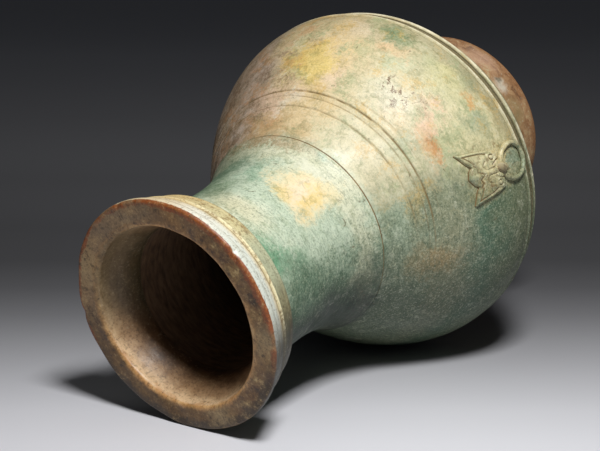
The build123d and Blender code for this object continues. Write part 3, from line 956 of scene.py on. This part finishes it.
def mask_ridges(u, v):
    """Raised forms of the mask over its plaque, in mm: strokes and domes mirrored about the middle."""
    side = np.abs(u)
    eye = np.hypot(side - eye_across, v + eye_below)
    strokes = (
        (((18.9, 0.2), (18.2, -6.0), (17.0, -13.0), (15.4, -19.5)), 1.0, 0.5),
        (((18.6, -0.4), (14.6, -2.6), (10.8, -4.4)), 1.0, 0.5),
        (((0.0, -1.5), (0.0, -9.0)), 2.2, 0.8),
        (((1.5, -11.0), (5.5, -9.6), (9.5, -12.0), (12.4, -15.4)), 1.4, 0.7),
        (((0.0, -13.0), (0.0, -22.0)), 1.9, 0.8),
    )
    rise = 0.5 * np.cos(np.clip(side / 20.0, 0.0, 1.0) * np.pi / 2)
    for points, half_width, height in strokes:
        rise = rise + height * stroke(side, v, points, half_width)
    rise = rise + 0.6 * np.exp(-(((eye - 3.0) / 0.9) ** 2)) + 0.9 * np.exp(-((eye / 1.3) ** 2))
    return rise + 0.7 * np.exp(-((np.hypot(side - 5.2, v + 23.0) / 2.2) ** 2))


def mask_cuts(u, v):
    """Lines cut into the mask, as a share of their depth from 0 to 1."""
    side = np.abs(u)
    eye = np.hypot(side - eye_across, v + eye_below)
    lines = (
        (((17.8, -1.0), (17.0, -6.5), (15.6, -13.0), (13.9, -17.4)), 0.5),
        (((17.4, -1.7), (13.0, -4.8), (9.6, -6.6)), 0.5),
        (((0.0, -10.4), (3.2, -6.8), (6.2, -7.8), (8.6, -5.8)), 0.65),
        (((2.6, -13.4), (6.2, -11.8), (8.8, -14.6)), 0.6),
        (((2.2, -15.0), (2.6, -20.5)), 0.55),
        (((4.6, -19.4), (7.2, -22.6), (7.4, -25.2)), 0.55),
    )
    depth = np.exp(-(((eye - 2.0) / 0.45) ** 2)) * (v > -18.9 - 0.3 * side)
    for points, half_width in lines:
        depth = np.maximum(depth, stroke(side, v, points, half_width))
    return depth


def on_shoulder(u, z, stand, half_turn):
    """Point in metres at u across and z up, standing off the wobbling shoulder, on the front or the back."""
    wall = np.interp(z, shoulder[:, 1], shoulder[:, 0]) + stand
    azimuth = np.arcsin(u / wall)
    wall = wall + wheel_wobble(azimuth + half_turn * np.pi, z)
    facing = 1.0 - 2.0 * half_turn
    return np.stack((facing * wall * np.sin(azimuth), -facing * wall * np.cos(azimuth), z), axis=-1) / 1000.0


def closed_shells(name, shells):
    """Mesh of closed shells, each (points, hollow, bare) on rings: a ring joins the next, and the ends close.

    The first and the last ring of a shell close on their own mean points.
    """
    places, faces, hollow_all, bare_all = [], [], [], []
    start = 0
    for points, hollow, bare in shells:
        ring_count, columns = points.shape[:2]
        here = start + np.arange(ring_count - 1)[:, None] * columns
        column = np.arange(columns)[None, :]
        beyond = (column + 1) % columns
        corners = (here + column, here + columns + column, here + columns + beyond, here + beyond)
        faces += np.stack(corners, axis=-1).reshape(-1, 4).tolist()
        spots = np.arange(columns)
        after = (spots + 1) % columns
        first = start + ring_count * columns
        last = start + (ring_count - 1) * columns
        faces += np.column_stack((np.full(columns, first), start + spots, start + after)).tolist()
        faces += np.column_stack((np.full(columns, first + 1), last + after, last + spots)).tolist()
        places += [points.reshape(-1, 3), points[:1].mean(axis=1), points[-1:].mean(axis=1)]
        for values, gathered in ((hollow, hollow_all), (bare, bare_all)):
            gathered += [values.ravel(), values[:1].mean(axis=1), values[-1:].mean(axis=1)]
        start = first + 2
    layers = (np.concatenate(bare_all), np.concatenate(hollow_all))
    return clay_piece(name, np.concatenate(places), faces, *layers, sharp_angle=60.0)


def askew(u, v, stand, half_turn):
    """Point on the shoulder for a place on the plaque, which was pressed on a little out of square."""
    return on_shoulder(u + 0.05 * v, crest_peak + v + 0.08 * u, stand, half_turn)


def beast_mask(name, half_turn):
    """Mask: rings from the plaque's middle to its edge, down its side to the pad and back in under it.

    The nose is a ball cut off at its back; a ring of it stands at u = r sin(tilt) cos(turn).
    """
    edge = plaque_edge(0.0)
    from_middle = edge - plaque_middle
    shares = np.concatenate((np.linspace(0.02, 0.93, 64), np.linspace(0.945, 1.0, 7)))
    flat = plaque_middle + shares[:, None, None] * from_middle
    u, v = flat[..., 0], flat[..., 1]
    rim = np.clip((1.0 - shares) / 0.075, 0.0, 1.0)[:, None]
    round_edge = np.sqrt(1.0 - (1.0 - rim) ** 2)
    ridges, cuts = mask_ridges(u, v), mask_cuts(u, v)
    lift = plaque_edge_stand + round_edge * (0.9 + ridges - 0.7 * cuts)
    hollow = 1.5 * cuts + 0.3 * np.clip(0.45 - ridges, 0.0, 1.0)
    down = np.linspace(plaque_edge_stand, plaque_back, 4)[1:, None] + 0.0 * u[-1:]
    under = plaque_middle + np.array((0.5, 0.02))[:, None, None] * from_middle
    u_all = np.concatenate((u, np.repeat(u[-1:], len(down), axis=0), under[..., 0]))
    v_all = np.concatenate((v, np.repeat(v[-1:], len(down), axis=0), under[..., 1]))
    stand_all = np.concatenate((lift, down, np.full(under[..., 0].shape, plaque_back)))
    hollow_all = np.concatenate((hollow, np.full((len(down) + len(under), len(edge)), 0.45)))
    plaque = askew(u_all, v_all, stand_all, half_turn)[:, ::-1]
    tilt = np.radians(np.linspace(4.0, 114.0, 24))[:, None]
    turn = np.linspace(0.0, 2 * np.pi, 64, endpoint=False)[None, :]
    dents = 0.12 * np.sin(2 * turn + 1.0) + 0.08 * np.sin(5 * turn)
    ball = nose_radius + dents * np.sin(tilt)
    nose_u = ball * np.sin(tilt) * np.cos(turn)
    nose_v = ball * np.sin(tilt) * np.sin(turn) - nose_below
    nose_stand = nose_stand_off + nose_depth * np.cos(tilt) + 0.0 * turn
    nose = askew(nose_u, nose_v, nose_stand, half_turn)
    # The nose is darker toward its base, where it meets the plaque.
    nose_base_darkening = np.clip(2.4 - nose_stand / 1.6, 0.0, 1.8)
    nose_bare = np.clip(0.45 + 0.3 * np.sin(turn - 0.6) * np.sin(tilt), 0.0, 1.0)
    shells = [
        (plaque, hollow_all[:, ::-1], np.zeros(hollow_all.shape)),
        (nose, nose_base_darkening, nose_bare),
    ]
    return closed_shells(name, shells)


for half_turn, side_name in sides:
    mask = beast_mask("mask_" + side_name + "_glazed", half_turn)
    mask.data.materials.append(jade_material)
    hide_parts("mask_" + side_name)


# Relief rings: a low rod of clay, bent round under each mask's nose. It looks as if it could swing, but was
# pressed onto the wall and fired there, under the same glaze. Painted shadow darkens the rod near the wall.
ring_radius = 13.4
ring_across = -1.2
ring_height = 151.2
rod_radius = 1.75
rod_stand = 1.7
wall_gap = 0.12


def relief_ring(name, half_turn):
    """Ring: a low rod bent round its middle, which starts and ends inside the mask's nose.

    The rod swells a little along its way, and its back is flattened where it meets the wall.
    """
    around = np.radians(np.linspace(102.0, 438.0, 150))[:, None]
    tube = np.linspace(0.0, 2 * np.pi, 28, endpoint=False)[None, :]
    rod = rod_radius + 0.12 * np.sin(3 * around + 0.5) + 0.08 * np.sin(7 * around)
    reach = ring_radius + rod * np.cos(tube)
    u = ring_across + reach * np.cos(around)
    z = ring_height + reach * np.sin(around)
    stand = np.maximum(rod_stand + 1.1 * rod * np.sin(tube), wall_gap)
    points = on_shoulder(u, z, stand, half_turn)
    # Painted shadow: the rod is darker the nearer it comes to the wall.
    hollow = np.clip(1.7 - stand / 0.7, 0.0, 1.6)
    return closed_shells(name, [(points, hollow, np.zeros(hollow.shape))])


for half_turn, side_name in sides:
    ring = relief_ring("ring_" + side_name + "_glazed", half_turn)
    ring.data.materials.append(jade_material)
    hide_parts("ring_" + side_name)


# Luting pads: the slip under each mask, fired with it. It holds the mask to the shoulder and was pressed out
# a little all round the mask's edge.
pad_face = 0.93


def luting_pad(name, half_turn):
    """Pad: rings from the middle to the plaque's outline, a little beyond it, then back in at the wall."""
    edge = plaque_edge(0.0)
    spread = plaque_edge(0.15)
    inner = plaque_middle + np.array((0.02, 0.5, 0.9))[:, None, None] * (edge - plaque_middle)
    outer = np.stack((edge, 0.3 * edge + 0.7 * spread, spread))
    flat = np.concatenate((inner, outer, inner[::-1]))
    levels = np.array((*[pad_face] * 4, 0.75, 0.15, *[wall_gap] * 3))
    stand = np.repeat(levels[:, None], len(edge), axis=1)
    points = askew(flat[..., 0], flat[..., 1], stand, half_turn)
    return closed_shells(name, [(points[:, ::-1], np.ones(stand.shape), np.zeros(stand.shape))])


for half_turn, side_name in sides:
    pad = luting_pad("lute_mask_" + side_name + "_slip", half_turn)
    pad.data.materials.append(slip_material)
    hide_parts("lute_mask_" + side_name)
